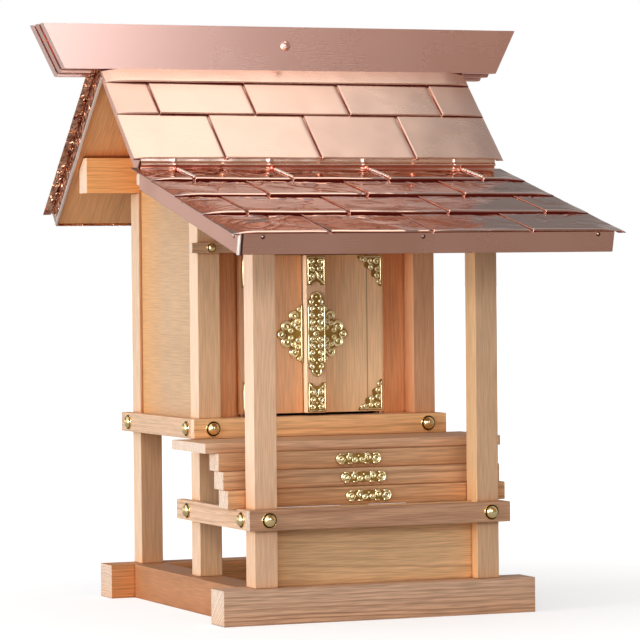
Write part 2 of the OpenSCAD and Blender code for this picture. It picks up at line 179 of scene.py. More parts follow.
# The floor lies a hair below the sills, so that the two faces don't fight
FLOOR_DROP = 0.0002
plate = bmesh.new()
bmesh.ops.create_circle(plate, cap_ends=True, segments=96, radius=FLOOR_RADIUS)
floor_mesh = bpy.data.meshes.new("floor")
plate.to_mesh(floor_mesh)
plate.free()
floor = bpy.data.objects.new("floor", floor_mesh)
floor.location.z = -FLOOR_DROP
bpy.context.scene.collection.objects.link(floor)
floor_finish, tree, shader, here = new_finish("pale_floor")
cloud = fuzz(tree, here, 1.5, 4.0)
shade = blend(tree, cloud, (0.46, 0.455, 0.45), (0.50, 0.495, 0.49))
tree.links.new(shade, shader.inputs["Base Color"])
shader.inputs["Roughness"].default_value = 0.9
away = add(tree, "ShaderNodeVectorMath", {0: here}, operation="LENGTH").outputs["Value"]
shader.inputs["Emission Color"].default_value = (1.0, 1.0, 1.0, 1.0)
path = add(tree, "ShaderNodeLightPath").outputs
behind = ramp(tree, split(tree, here)["Y"], 0.3, 0.9)
mirrored = sums(tree, "MULTIPLY", path["Is Glossy Ray"], sums(tree, "MULTIPLY", behind, 0.34))
seen = sums(tree, "MAXIMUM", path["Is Camera Ray"], mirrored)
glow = sums(tree, "MULTIPLY", seen, ramp(tree, away, 0.2, 1.2, 0.60, 0.90))
tree.links.new(glow, shader.inputs["Emission Strength"])
floor_mesh.materials.append(floor_finish)
print("floor", floor.dimensions.x, "m across")


# %% Soft boxes
def soft_box(name, at, aim, width, height, power, tint):
    lamp = bpy.data.lights.new(name, "AREA")
    lamp.shape = "RECTANGLE"
    lamp.size, lamp.size_y = width, height
    lamp.energy, lamp.color = power, tint
    box = bpy.data.objects.new(name, lamp)
    box.location = at
    box.rotation_euler = (Vector(aim) - Vector(at)).to_track_quat("-Z", "Y").to_euler()
    box.visible_camera = False
    bpy.context.scene.collection.objects.link(box)
    return box


key = soft_box("key_box", (-2.2, -0.5, 0.42), (0, -0.05, 0.25), 1.0, 1.0, 37.0, (0.99, 1.0, 1.03))
key.visible_glossy = False
soft_box("glint_box", (-0.9, -2.2, 0.9), (0, -0.1, 0.25), 0.42, 0.42, 8.5, (1.0, 0.95, 0.85))
side = soft_box("side_box", (-2.0, -1.2, 0.6), (0, -0.1, 0.25), 0.9, 0.9, 52.0, (1.0, 0.97, 0.92))
side.visible_diffuse = False
soft_box("ridge_box", (0.19, -2.5, 0.88), (0.19, 0, 0.88), 0.98, 0.84, 6.9, (0.93, 1.0, 1.08))
soft_box("roof_box", (0.325, 0.0, 2.0), (0.325, 0.0, 0), 0.83, 1.2, 4.9, (0.97, 1.0, 0.96))
print("soft boxes: key, glint, side, ridge and roof")

# %% Room
room = bpy.data.worlds.new("room")
room.use_nodes = True
bpy.context.scene.world = room
tree = room.node_tree
ray = add(tree, "ShaderNodeTexCoord").outputs["Generated"]
way = split(tree, ray)
left_wall = sums(tree, "MULTIPLY", ramp(tree, way["X"], -0.1, -0.36), ramp(tree, way["Z"], -0.1, 0.0))
dark_wall = sums(tree, "MULTIPLY", ramp(tree, way["Y"], 0.25, 0.6), ramp(tree, way["Z"], 0.16, 0.30))
dark_wall = sums(tree, "MULTIPLY", dark_wall, ramp(tree, way["Z"], 0.72, 0.58))
front_tint = blend(tree, ramp(tree, way["X"], -0.15, 0.2), (0.42, 0.295, 0.235), (0.34, 0.21, 0.135))
tint = blend(tree, ramp(tree, way["Y"], -0.05, -0.5), (0.45, 0.45, 0.45), front_tint)
tint = blend(tree, ramp(tree, way["Z"], 0.75, 0.92), tint, (0.24, 0.24, 0.24))
cool = sums(tree, "MULTIPLY", ramp(tree, way["Y"], 0.2, 0.4), ramp(tree, way["Z"], 0.60, 0.72))
tint = blend(tree, cool, tint, (0.50, 0.62, 0.76))
tint = blend(tree, left_wall, tint, (1.02, 1.02, 1.04))
tint = blend(tree, dark_wall, tint, (0.24, 0.23, 0.23))
seen = add(tree, "ShaderNodeLightPath").outputs["Is Camera Ray"]
tree.links.new(blend(tree, seen, tint, (1.0, 1.0, 1.0)), tree.nodes["Background"].inputs["Color"])
bpy.context.scene.view_settings.view_transform = "Standard"
print("a room with a bright left wall")

# %% [markdown]
# ## Cypress
# A board is a cut through a log, so its lines are cuts through growth rings. The group works
# out how far each point lies from the heart of an imagined log and turns that distance into
# rings. Long faces then show straight or waving lines, and end faces show arcs, with no
# extra work. A stretched noise would be quicker, but its lines would not meet at the edges of
# a board. Thin fibres and a slow drift of colour go on top.

# %% Ring group
rings, given, gives = new_group(
    "log_rings",
    [("Vector", POINT, None), ("Heart", POINT, None), ("Spacing", VALUE, 0.003), ("Wave", VALUE, 0.004)],
    [("Ring", VALUE), ("Fibre", VALUE), ("Drift", VALUE)],
)
slow = stretch(rings, given["Vector"], (14.0, 14.0, 3.0))
bend = sums(rings, "SUBTRACT", fuzz(rings, slow, 1.0, 3.0), 0.5)
ends = {0: given["Vector"], 1: given["Heart"]}
from_heart = add(rings, "ShaderNodeVectorMath", ends, operation="SUBTRACT").outputs[0]
flat = stretch(rings, from_heart, (1.0, 1.0, 0.0))
far = add(rings, "ShaderNodeVectorMath", {0: flat}, operation="LENGTH").outputs["Value"]
far = sums(rings, "ADD", far, sums(rings, "MULTIPLY", bend, given["Wave"]))
count = sums(rings, "DIVIDE", far, given["Spacing"])
uneven = fuzz(rings, add(rings, "ShaderNodeCombineXYZ", {0: count}).outputs[0], 0.35, 1.0)
count = sums(rings, "ADD", count, sums(rings, "MULTIPLY", uneven, 2.2))
turns = sums(rings, "FRACT", count)
whole = sums(rings, "FLOOR", count)
own = add(rings, "ShaderNodeTexWhiteNoise", {"W": whole}, noise_dimensions="1D").outputs["Value"]
late = sums(rings, "MULTIPLY", ramp(rings, turns, 0.35, 0.82), ramp(rings, turns, 1.0, 0.86))
weight = fuzz(rings, stretch(rings, given["Vector"], (60.0, 60.0, 4.0)), 1.0, 2.0)
weight = ramp(rings, weight, 0.25, 0.75, 0.5, 1.0)
weight = sums(rings, "MULTIPLY", weight, ramp(rings, own, 0.0, 1.0, 0.35, 1.0))
fibre = fuzz(rings, stretch(rings, given["Vector"], (1000.0, 1000.0, 34.0)), 1.0, 1.0, 0.6)
drift = fuzz(rings, stretch(rings, given["Vector"], (9.0, 9.0, 2.2)), 1.0, 3.0)
rings.links.new(sums(rings, "MULTIPLY", late, weight), gives["Ring"])
rings.links.new(fibre, gives["Fibre"])
rings.links.new(drift, gives["Drift"])
print("rings group with", len(rings.nodes), "nodes")

# %% [markdown]
# ## Worn edges and painted edge highlights
# Handled edges of wood and metal are paler with wear, and the finishes pale the same edges further as a
# painted highlight. The bevel node rounds the shading normal inside a small radius; where that normal leaves
# the true one there is an edge. The group gives this as a mask, broken up by noise so that the wear and the
# painted highlight are not a ruled line. Painting the edges by hand would do as well, but this finds them on
# every board at once.

# %% Edge group
wear_and_highlight, given, gives = new_group(
    "edge_wear_and_highlight", [("Vector", POINT, None), ("Radius", VALUE, 0.0012)], [("Edge", VALUE)]
)
soft_normal = add(wear_and_highlight, "ShaderNodeBevel", {"Radius": given["Radius"]}, samples=4).outputs[0]
true_normal = add(wear_and_highlight, "ShaderNodeNewGeometry").outputs["Normal"]
pair = {0: soft_normal, 1: true_normal}
align = add(wear_and_highlight, "ShaderNodeVectorMath", pair, operation="DOT_PRODUCT").outputs["Value"]
edge = ramp(wear_and_highlight, align, 0.995, 0.80)
patch = ramp(wear_and_highlight, fuzz(wear_and_highlight, given["Vector"], 120.0, 3.0), 0.35, 0.65, 0.35, 1.0)
wear_and_highlight.links.new(sums(wear_and_highlight, "MULTIPLY", edge, patch), gives["Edge"])
print("edge group with", len(wear_and_highlight.nodes), "nodes")


# %% [markdown]
# ## One finish for each board
# Boards from different logs never match, so each gets its own log: a direction of grain, a
# heart some way outside the board, a ring width and two tones. The log's heart sits to the
# side that gives the lines seen on that face.

# %% Wood finish
TURN = {"X": Euler((0, math.radians(-90), 0)), "Y": Euler((math.radians(90), 0, 0)), "Z": Euler((0, 0, 0))}
# Share of each colour channel that late wood keeps, the tone of end grain, the painted shade in hollows and
# in corners between parts, and the dark line of a glued seam
LATE_WOOD = (0.56, 0.45, 0.38)
END_GRAIN = (0.74, 0.62, 0.51)
WARM_SHADE, JOINT_SHADE, SEAM_SHADE = (1.04, 0.78, 0.52), (0.40, 0.24, 0.14), (0.20, 0.10, 0.05)


def wood_finish(node, along, heart, spacing, wave, pale, mark, seam, zone, painted_side):
    finish, tree, shader, here = new_finish("cypress_" + node)
    spin = TURN[along] if isinstance(along, str) else along
    lie = add(tree, "ShaderNodeMapping", {"Vector": here, "Rotation": spin}).outputs[0]
    heart = spin.to_matrix() @ Vector(heart)
    grain = place_group(tree, rings, {"Vector": lie, "Heart": heart, "Spacing": spacing, "Wave": wave})
    brown = tuple(c * share for c, share in zip(pale, LATE_WOOD))
    tone = blend(tree, ramp(tree, grain["Drift"], 0.3, 0.7, 0.0, 0.30), pale, brown)
    if isinstance(along, str):
        turned = split(tree, add(tree, "ShaderNodeTexCoord").outputs["Normal"])
        end = ramp(tree, sums(tree, "ABSOLUTE", turned[along]), 0.75, 0.95, 0.0, 0.75)
        tone = blend(tree, end, tone, END_GRAIN)
    tone = blend(tree, sums(tree, "MULTIPLY", grain["Ring"], mark), tone, brown)
    # One side gets another tone: painted shade on post fronts, painted light on the batten's left side
    if painted_side:
        axis, colour = painted_side
        tone = blend(tree, ramp(tree, turned[axis], -0.75, -0.95), tone, colour)
    if zone:
        start, stop, colour = zone
        tone = blend(tree, ramp(tree, split(tree, here)[along], start, stop, 0.0, 0.8), tone, colour)
    rough = 0.5 + 0.5 * mark
    streak = ramp(tree, grain["Fibre"], 0.3, 0.7, 1.0 - 0.2 * rough, 1.0 + 0.16 * rough)
    grey = add(tree, "ShaderNodeCombineColor", {0: streak, 1: streak, 2: streak}).outputs[0]
    tone = blend(tree, 1.0, tone, grey, "MULTIPLY")
    # Painted shade: the wood turns darker and warmer where other faces lie within 5 cm
    near = openness(tree, 0.05, 4)
    tone = blend(tree, ramp(tree, near, 0.9, 0.3, 0.0, 0.8), tone, WARM_SHADE, "MULTIPLY")
    # Painted shade: darker in corners within 4 mm of another face, for shadow lines between parts
    joint = openness(tree, 0.004, 6)
    tone = blend(tree, ramp(tree, joint, 0.72, 0.35, 0.0, 0.9), tone, JOINT_SHADE, "MULTIPLY")
    if seam:
        off = sums(tree, "ABSOLUTE", sums(tree, "SUBTRACT", split(tree, here)["X"], seam))
        tone = blend(tree, ramp(tree, off, 0.0007, 0.0003, 0.0, 0.7), tone, SEAM_SHADE)
    # Edges paler, for wear and as a painted highlight
    edge = place_group(tree, wear_and_highlight, {"Vector": here})["Edge"]
    tone = blend(tree, sums(tree, "MULTIPLY", edge, 0.4), tone, tuple(min(1.0, c * 1.25) for c in pale))
    tree.links.new(tone, shader.inputs["Base Color"])
    tree.links.new(ramp(tree, grain["Fibre"], 0.2, 0.8, 0.48, 0.66), shader.inputs["Roughness"])
    shader.inputs["Specular IOR Level"].default_value = 0.35
    relief = sums(tree, "ADD", sums(tree, "MULTIPLY", grain["Ring"], 0.6), grain["Fibre"])
    emboss(tree, shader, relief, 0.35, 0.0002)
    return finish


# Width of an eased edge, and the distance within which corners of a solid count as one, in m
EASED, WELD = 0.0006, 0.00002


def dress(node, finish):
    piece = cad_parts[node]
    piece.data.materials.clear()
    piece.data.materials.append(finish)
    return piece


def ease_edges(node, width):
    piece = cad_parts[node]
    weld = piece.modifiers.new("weld", "WELD")
    weld.merge_threshold = WELD
    cut = piece.modifiers.new("eased_edges", "BEVEL")
    cut.width, cut.segments, cut.limit_method = width, 2, "ANGLE"
    cut.angle_limit = math.radians(30)
    cut.harden_normals = True


SLOPE_UP, SLOPE_DOWN = Euler((math.radians(46.4), 0, 0)), Euler((math.radians(-46.4), 0, 0))
# Each board: direction of grain, heart of its log, ring width, wave, colour, strength of the rings
boards = {
    "front_sill": ("X", (0, -0.33, -0.20), 0.0030, 0.010, (0.62, 0.41, 0.28), 1.0),
    "rear_sill": ("X", (0, 0.18, -0.05), 0.0030, 0.008, (0.65, 0.30, 0.12), 0.7),
    "left_sill": ("Y", (-0.25, 0, 0.016), 0.0026, 0.006, (0.48, 0.23, 0.11), 0.6),
    "right_sill": ("Y", (0.25, 0, 0.014), 0.0026, 0.006, (0.48, 0.23, 0.11), 0.6),
    "rear_left_post": ("Z", (-0.3, 0.26, 0), 0.0022, 0.004, (0.74, 0.53, 0.36), 0.2),
    "rear_right_post": ("Z", (0.3, 0.3, 0), 0.0022, 0.004, (0.74, 0.53, 0.36), 0.2),
    "front_left_post": ("Z", (-0.34, -0.08, 0), 0.0022, 0.004, (0.78, 0.565, 0.395), 0.2),
    "front_right_post": ("Z", (0.3, -0.09, 0), 0.0022, 0.004, (0.69, 0.38, 0.21), 0.2),
    "porch_left_post": ("Z", (-0.36, -0.2, 0), 0.0022, 0.004, (0.83, 0.60, 0.43), 0.2),
    "porch_right_post": ("Z", (0.34, -0.21, 0), 0.0022, 0.004, (0.84, 0.56, 0.31), 0.2),
    "left_wall": ("Y", (-0.16, 0, 0.1), 0.0030, 0.016, (0.56, 0.37, 0.22), 0.2),
    "right_wall": ("Y", (0.16, 0, 0.1), 0.0030, 0.016, (0.60, 0.40, 0.25), 0.2),
    "rear_wall": ("X", (0, 0.22, 0.1), 0.0030, 0.016, (0.60, 0.40, 0.25), 0.2),
    "floor_board": ("X", (0, 0.4, 0.17), 0.0030, 0.006, (0.60, 0.38, 0.24), 0.6),
    "front_frame": ("Z", (0.2, -0.05, 0), 0.0026, 0.006, (0.81, 0.43, 0.22), 0.2),
    "left_door": ("Z", (-0.3, 0.0, 0), 0.0026, 0.005, (0.81, 0.46, 0.25), 0.15),
    "right_door": ("Z", (0.3, 0.0, 0), 0.0024, 0.005, (0.95, 0.66, 0.39), 0.15),
    "door_batten": ("Z", (-0.2, -0.02, 0), 0.0024, 0.004, (0.84, 0.56, 0.35), 0.15),
    "floor_band_front": ("X", (0, -0.1, 0.12), 0.0030, 0.006, (0.86, 0.54, 0.275), 0.6),
    "floor_band_left": ("Y", (-0.2, 0, 0.13), 0.0026, 0.006, (0.68, 0.46, 0.30), 0.6),
    "floor_band_right": ("Y", (0.2, 0, 0.13), 0.0026, 0.006, (0.68, 0.46, 0.30), 0.6),
    "upper_band": ("X", (0, -0.1, 0.4), 0.0026, 0.005, (0.62, 0.38, 0.22), 0.6),
    "porch_band_front": ("X", (0, -0.45, 0.02), 0.0030, 0.010, (0.52, 0.30, 0.18), 0.8),
    "porch_band_left": ("Y", (-0.26, 0, 0.03), 0.0030, 0.008, (0.70, 0.47, 0.31), 0.7),
    "porch_band_right": ("Y", (0.26, 0, 0.03), 0.0030, 0.008, (0.70, 0.47, 0.31), 0.7),
    "veranda_board": ("X", (0, -0.3, 0.1), 0.0026, 0.008, (0.68, 0.43, 0.27), 0.8),
    "upper_step": ("X", (0, -0.2, 0.10), 0.0030, 0.012, (0.62, 0.375, 0.21), 0.8),
    "middle_step": ("X", (0, -0.22, 0.2), 0.0028, 0.012, (0.66, 0.42, 0.25), 0.8),
    "lower_step": ("X", (0, -0.24, 0.05), 0.0030, 0.012, (0.65, 0.385, 0.205), 0.8),
    "porch_panel": ("X", (0, -0.34, 0.2), 0.0038, 0.018, (0.70, 0.47, 0.26), 0.6),
    "front_beam": ("X", (0, 0.1, 0.36), 0.0028, 0.006, (0.64, 0.40, 0.23), 0.6),
    "rear_beam": ("X", (0, 0.1, 0.36), 0.0028, 0.006, (0.83, 0.41, 0.15), 0.5),
    "main_front_board": (SLOPE_UP, (0.5, 0, 0.3), 0.0026, 0.012, (0.73, 0.38, 0.17), 0.3),
    "main_rear_board": (SLOPE_DOWN, (0.5, 0, 0.3), 0.0026, 0.012, (0.77, 0.41, 0.185), 0.3),
    "porch_board": ("X", (0, -0.5, 0.2), 0.0030, 0.010, (0.60, 0.38, 0.23), 0.5),
}
# The right leaf is glued up from two boards, with the line between them this far from the middle
SEAM_OUT = 0.0560
into_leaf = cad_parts["right_door"].matrix_world.inverted()
seams = {"right_door": (into_leaf @ Vector((SEAM_OUT, 0, 0))).x}
# Boards that change colour along the grain: from, to and the colour reached
zones = {
    # The porch post darkens towards its lower end as painted shade
    "porch_left_post": (0.17, 0.09, (0.66, 0.43, 0.275)),
    "left_wall": (0.09, 0.165, (0.66, 0.34, 0.13)),
}
# Boards with one side painted another tone for how light falls on it: painted shade on the fronts of the
# posts, painted light on the batten's left side; the axis that this side faces against, and its colour
painted_sides = {
    "rear_left_post": ("Y", (0.55, 0.31, 0.165)),
    "front_left_post": ("Y", (0.69, 0.44, 0.255)),
    "porch_left_post": ("Y", (0.75, 0.49, 0.31)),
    "porch_right_post": ("Y", (0.60, 0.385, 0.23)),
    "door_batten": ("X", (1.0, 0.90, 0.70)),
}
for node, look in boards.items():
    dress(node, wood_finish(node, *look, seams.get(node), zones.get(node), painted_sides.get(node)))
    ease_edges(node, EASED)
print("cypress on", len(boards), "boards")

# %% [markdown]
# ## Copper sheet
# The roof is thin bright copper: it mirrors the room, but soft dents and buckles bend what it
# mirrors. Small dents only bend reflections, so they are a bump and not a shape. The dents
# group gives a slow height for buckles, which come in patches, a fine one for rolling marks,
# and a patchy mask for finger marks and tarnish.

# %% Dent group
dents, given, gives = new_group(
    "sheet_dents",
    [("Vector", POINT, None), ("Size", VALUE, 25.0)],
    [("Height", VALUE), ("Fine", VALUE), ("Tarnish", VALUE)],
)
bent = {"Vector": given["Vector"], "Scale": given["Size"], "Detail": 1.0, "Distortion": 1.1}
swirl = add(dents, "ShaderNodeTexNoise", bent).outputs["Fac"]
calm = fuzz(dents, given["Vector"], sums(dents, "MULTIPLY", given["Size"], 0.55), 1.0)
patch = ramp(dents, calm, 0.44, 0.58, 0.25, 1.0)
buckle = sums(dents, "MULTIPLY", sums(dents, "SUBTRACT", swirl, 0.5), patch)
rolled = fuzz(dents, stretch(dents, given["Vector"], (40.0, 900.0, 900.0)), 1.0, 2.0)
cloud = fuzz(dents, given["Vector"], given["Size"], 4.0, 0.55)
dents.links.new(buckle, gives["Height"])
dents.links.new(rolled, gives["Fine"])
dents.links.new(ramp(dents, cloud, 0.3, 0.8), gives["Tarnish"])
print("dents group with", len(dents.nodes), "nodes")


# %% Copper finish
# Paler copper for edges, worn and painted as highlight; a faint red glow painted in the laps as bounced
# light
WEAR_AND_HIGHLIGHT_COPPER, LAP_GLOW = (0.98, 0.85, 0.78), (0.045, 0.005, 0.004)
# Dark red painted as shade between laps
LAP_RED = (0.40, 0.055, 0.035)


def copper_finish(name, bright, dull, rough, size, depth, stain=0.25, near=0.006, shade=LAP_RED, rim=0.25):
    """Size and depth belong to the dents; near and shade to the painted red shade between laps; rim to edges
    paled for wear and as painted highlight.
    """
    finish, tree, shader, here = new_finish(name)
    metal = place_group(tree, dents, {"Vector": here, "Size": size})
    edge = place_group(tree, wear_and_highlight, {"Vector": here, "Radius": 0.0006})["Edge"]
    sheet = add(tree, "ShaderNodeAttribute", attribute_name="sheet_tone").outputs["Fac"]
    tone = blend(tree, sums(tree, "MULTIPLY", metal["Tarnish"], stain), bright, dull)
    tone = blend(tree, ramp(tree, sheet, 0.0, 1.0, 0.0, 0.30), tone, dull)
    # Edges paler, for wear and as a painted highlight
    tone = blend(tree, sums(tree, "MULTIPLY", edge, rim), tone, WEAR_AND_HIGHLIGHT_COPPER)
    # Painted shade: dark red where other faces lie close, between laps and in grooves
    painted_lap_shade = ramp(tree, openness(tree, near, 6), 0.60, 0.20)
    tone = blend(tree, painted_lap_shade, tone, shade)
    # Painted light: a faint red glow where the laps are shaded, for light bounced between the sheets
    tree.links.new(blend(tree, painted_lap_shade, (0.0, 0.0, 0.0), LAP_GLOW), shader.inputs["Emission Color"])
    shader.inputs["Emission Strength"].default_value = 1.0
    tree.links.new(tone, shader.inputs["Base Color"])
    shader.inputs["Metallic"].default_value = 1.0
    gloss = ramp(tree, metal["Tarnish"], 0.0, 1.0, rough, rough * 1.12)
    gloss = sums(tree, "ADD", gloss, ramp(tree, sheet, 0.3, 1.0, 0.0, 0.06))
    gloss = sums(tree, "ADD", gloss, ramp(tree, metal["Fine"], 0.3, 0.7, 0.0, 0.008))
    tree.links.new(gloss, shader.inputs["Roughness"])
    relief = sums(tree, "ADD", metal["Height"], sums(tree, "MULTIPLY", metal["Fine"], 0.0002))
    emboss(tree, shader, relief, 1.0, depth)
    return finish


BRIGHT, DULL = (0.81, 0.53, 0.42), (0.74, 0.45, 0.36)
PORCH_BRIGHT, PORCH_DULL = (0.80, 0.485, 0.37), (0.70, 0.39, 0.295)
roof_copper = copper_finish(
    "roof_copper", BRIGHT, DULL, 0.26, 16.0, 0.00008, stain=0.1, near=0.004, shade=(0.24, 0.045, 0.03))
# On the porch a strong rim paints the hems' white lines as a painted highlight
porch_copper = copper_finish(
    "porch_copper", PORCH_BRIGHT, PORCH_DULL, 0.03, 20.0, 0.0013,
    near=0.008, shade=(0.32, 0.03, 0.02), rim=0.9)
edge_copper = copper_finish(
    "edging_copper", (0.68, 0.37, 0.275), (0.57, 0.285, 0.20), 0.26, 12.0, 0.0002, stain=0.7)
crinkled_copper = copper_finish(
    "crinkled_copper", (0.92, 0.54, 0.36), (0.24, 0.06, 0.03), 0.10, 170.0, 0.0070, stain=1.0)
ridge_copper = copper_finish(
    "ridge_copper", (0.87, 0.58, 0.515), (0.80, 0.50, 0.435), 0.26, 9.0, 0.00008, stain=0.1)
# The ridge core is darker than its covers, as painted shade in its recess
core_copper = copper_finish(
    "core_copper", (0.74, 0.46, 0.37), (0.56, 0.29, 0.22), 0.22, 12.0, 0.0002, stain=0.4, near=0.008)
# Pale copper, paler than the roof as a painted highlight, for the lips, the corner fold, the crimps and the
# nail heads
pale_copper = copper_finish(
    "pale_copper", (0.97, 0.84, 0.76), (0.92, 0.70, 0.60), 0.30, 12.0, 0.0003, stain=0.4, near=0.004)
# The flashing is paler than the roof as a painted highlight, with a brighter red painted shade in its
# hollows
flash_copper = copper_finish(
    "flash_copper", (1.0, 0.84, 0.75), (0.96, 0.72, 0.60), 0.20, 12.0, 0.0006,
    stain=0.4, near=0.003, shade=(0.70, 0.13, 0.07))
nail_shadow = copper_finish("nail_shadow", (0.16, 0.07, 0.05), (0.08, 0.03, 0.02), 0.4, 60.0, 0.0002)
finishes = {
    "main_front_edging": edge_copper,
    "main_rear_edging": crinkled_copper,
    "porch_edging": edge_copper,
    "ridge_front_cover": ridge_copper,
    "ridge_core": core_copper,
    "ridge_rear_cover": ridge_copper,
    "ridge_boss": ridge_copper,
}
for node, finish in finishes.items():
    dress(node, finish)
    ease_edges(node, EASED)
print("copper on the edging and the ridge")


# %% [markdown]
# ## Lapped sheets
# Each course of the roof is a row of separate sheets. A sheet starts under the course above,
# rises a little, and ends in a folded hem; its left side is folded up into a low seam that
# grips its neighbour. A board with drawn lines would mirror the room in one piece, so every
# sheet is a grid of its own: a profile down the slope is swept across, and slow noise lifts
# the metal so that no two sheets mirror the room in quite the same way.

# %% Slope frames
MAIN_PITCH, PORCH_PITCH = math.radians(43.6), math.radians(13.85)
# The tops of the slopes in mm, back from the front of the body posts and up from the ground
APEX_BACK, APEX_UP, PORCH_UP = 95.3, 522.1, 412.2


def slope_frame(top_back, top_up, fall, way):
    """Places in mm on a slope: x across, s down from its top, n out of it; way is 1 to the back."""
    def place(x, s, n):
        y = top_back + way * s * math.cos(fall) + way * n * math.sin(fall)
        z = top_up - s * math.sin(fall) + n * math.cos(fall)
        return Vector((x * MM, y * MM + front_y, z * MM))
    return place


front_slope = slope_frame(APEX_BACK, APEX_UP, MAIN_PITCH, -1)
rear_slope = slope_frame(APEX_BACK, APEX_UP, MAIN_PITCH, 1)
porch_slope = slope_frame(0.0, PORCH_UP, PORCH_PITCH, -1)


def keep(name, mesh_maker, finish, body):
    mesh = bpy.data.meshes.new(name)
    mesh_maker.to_mesh(mesh)
    mesh_maker.free()
    mesh.materials.append(finish)
    mesh.shade_smooth()
    piece = bpy.data.objects.new(name, mesh)
    bpy.context.scene.collection.objects.link(piece)
    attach(piece, body)
    return piece


def lay_grid(maker, rows):
    lines = [[maker.verts.new(point) for point in row] for row in rows]
    for one, two in zip(lines, lines[1:]):
        for a, b, c, d in zip(one, one[1:], two[1:], two):
            maker.faces.new((a, b, c, d))


print("slope frames ready")


# %% Sheet maker
# Half the width of a course, and how far in from its ends the sheets are pressed down
SHEET_HALF, PRESSED, PRESS = 187.0, 26.0, 0.75


def steps(low, high, size):
    count = max(1, round((high - low) / size))
    return [low + (high - low) * i / count for i in range(count + 1)]


def between(value, low, high):
    return min(high, max(low, value))


def crease(x, s, seed):
    """Sharp folds along the level lines of a slow noise, which run in hooks and loops."""
    field = noise.noise(Vector((x * 0.026 + seed * 3.1, s * 0.034 - seed, seed * 5.3)))
    return max(0.0, 1.0 - min(abs(field - 0.12), abs(field + 0.2)) / 0.07) ** 1.5


def lay_sheet(maker, slope, span, down_at, lift, seed, ends, look, flip):
    x0, x1, first, last = *span, *ends
    top, low, high = down_at
    warp, tilt, curl, folds, hem, pace, gap = look
    dice = random.Random(seed)
    tone = dice.random()
    folds *= dice.choice((0.15, 0.6, 1.0))
    curl = (curl * dice.uniform(0.0, 0.6), curl * dice.uniform(0.3, 1.0))
    under = -0.2 - 0.1 * dice.random()
    # Each stop across holds its place, its rise and whether the rise counts from the board
    left = [(7.6, under, True), (0.0, under, True), (-0.15, 0.0, True)]
    left += [(-0.1, -0.45, False), (0.15, -0.1, False), (0.6, 0.0, False)]
    across = [(x0 + dx, rise, board) for dx, rise, board in (left if first else left[2:])]
    across += [(x, 0.0, False) for x in steps(x0 + 1.4, x1 - 3.2, pace)]
    if last:
        across += [(x1 - dx, rise, board) for dx, rise, board in reversed(left)]
    else:
        right = ((gap + 0.4, -0.2), (gap, -0.9), (gap - 0.3, -1.7), (-3.0, -1.8))
        across += [(x1 - dx, rise, False) for dx, rise in right]
    reach, drop = hem
    down_to = steps(top, high - reach - 0.4, pace)
    down = [(s, lift[0] + (lift[1] - lift[0]) * (s - low) / (high - low)) for s in down_to]
    down += [(high - reach, lift[1] - 0.05), (high - reach * 0.2, lift[1] - drop * 0.9)]
    down += [(high, lift[1] - drop - 0.2), (high - 0.2, lift[1] - drop - 0.45)]
    down += [(high - 6.0, lift[1] - drop - 0.45)]
    mark = maker.verts.layers.float.get("sheet_tone")
    rows = []
    for s, n in down:
        row = []
        near_hem = between((s - low) / (high - low), 0.0, 1.0) ** 2
        for x, rise, board in across:
            u = between((x - x0) / (x1 - x0), 0.0, 1.0)
            wave = noise.noise(Vector((x * 0.018 + seed * 7.1, s * 0.028, seed * 3.7)))
            fine = noise.noise(Vector((x * 0.060 + seed * 2.3, s * 0.090 + 5.0, seed * 1.9)))
            lean = tilt * (1.0 - 2.0 * u) if not (first and last) else 0.0
            lip = curl[0] * math.exp(-((u / 0.2) ** 2)) + curl[1] * math.exp(-(((1 - u) / 0.22) ** 2))
            calm = math.sin(math.pi * u) * (1.0 - near_hem) * between((s - low) / 12.0, 0.0, 1.0)
            pinch = 1.0 - PRESS * max(0.0, 1.0 - (SHEET_HALF - abs(x)) / PRESSED) ** 2
            swell = warp * (0.8 * wave + 0.2 * fine) * between((s - low) / 16.0, 0.25, 1.0)
            total = n * pinch + rise + swell + lean + near_hem * lip + folds * calm * crease(x, s, seed)
            row.append(maker.verts.new(slope(x, s, rise if board else max(0.05, total))))
            row[-1][mark] = tone
        rows.append(row)
    for one, two in zip(rows, rows[1:]):
        for i in range(len(across) - 1):
            a, b, c, d = one[i], one[i + 1], two[i + 1], two[i]
            face = maker.faces.new((a, b, c, d) if flip else (d, c, b, a))
            face.material_index = int(across[i][2] and across[i + 1][2])


def new_sheets():
    maker = bmesh.new()
    maker.verts.layers.float.new("sheet_tone")
    return maker


def lay_course(maker, slope, joints, down_at, lift, seed, look, flip=False):
    edges = [-SHEET_HALF] + list(joints) + [SHEET_HALF]
    for i, span in enumerate(zip(edges, edges[1:])):
        ends = (i == 0, i == len(edges) - 2)
        lay_sheet(maker, slope, span, down_at, lift, seed + i * 1.37, ends, look, flip)


print("sheet maker ready")

# %% Lay the courses
WIDE, NARROW = (-144.0, -48.0, 48.0, 144.0), (-96.0, 0.0, 96.0)
# How high a sheet lies where it comes out from under the course above, and at its hem
STRIP, LAP, PORCH_LAP = (2.4, 3.0), (0.8, 2.8), (0.8, 3.5)
# Down the slope, the porch's top course comes out at the first of these and ends at the second
PORCH_TOP, PORCH_FIRST = 7.8, 63.9
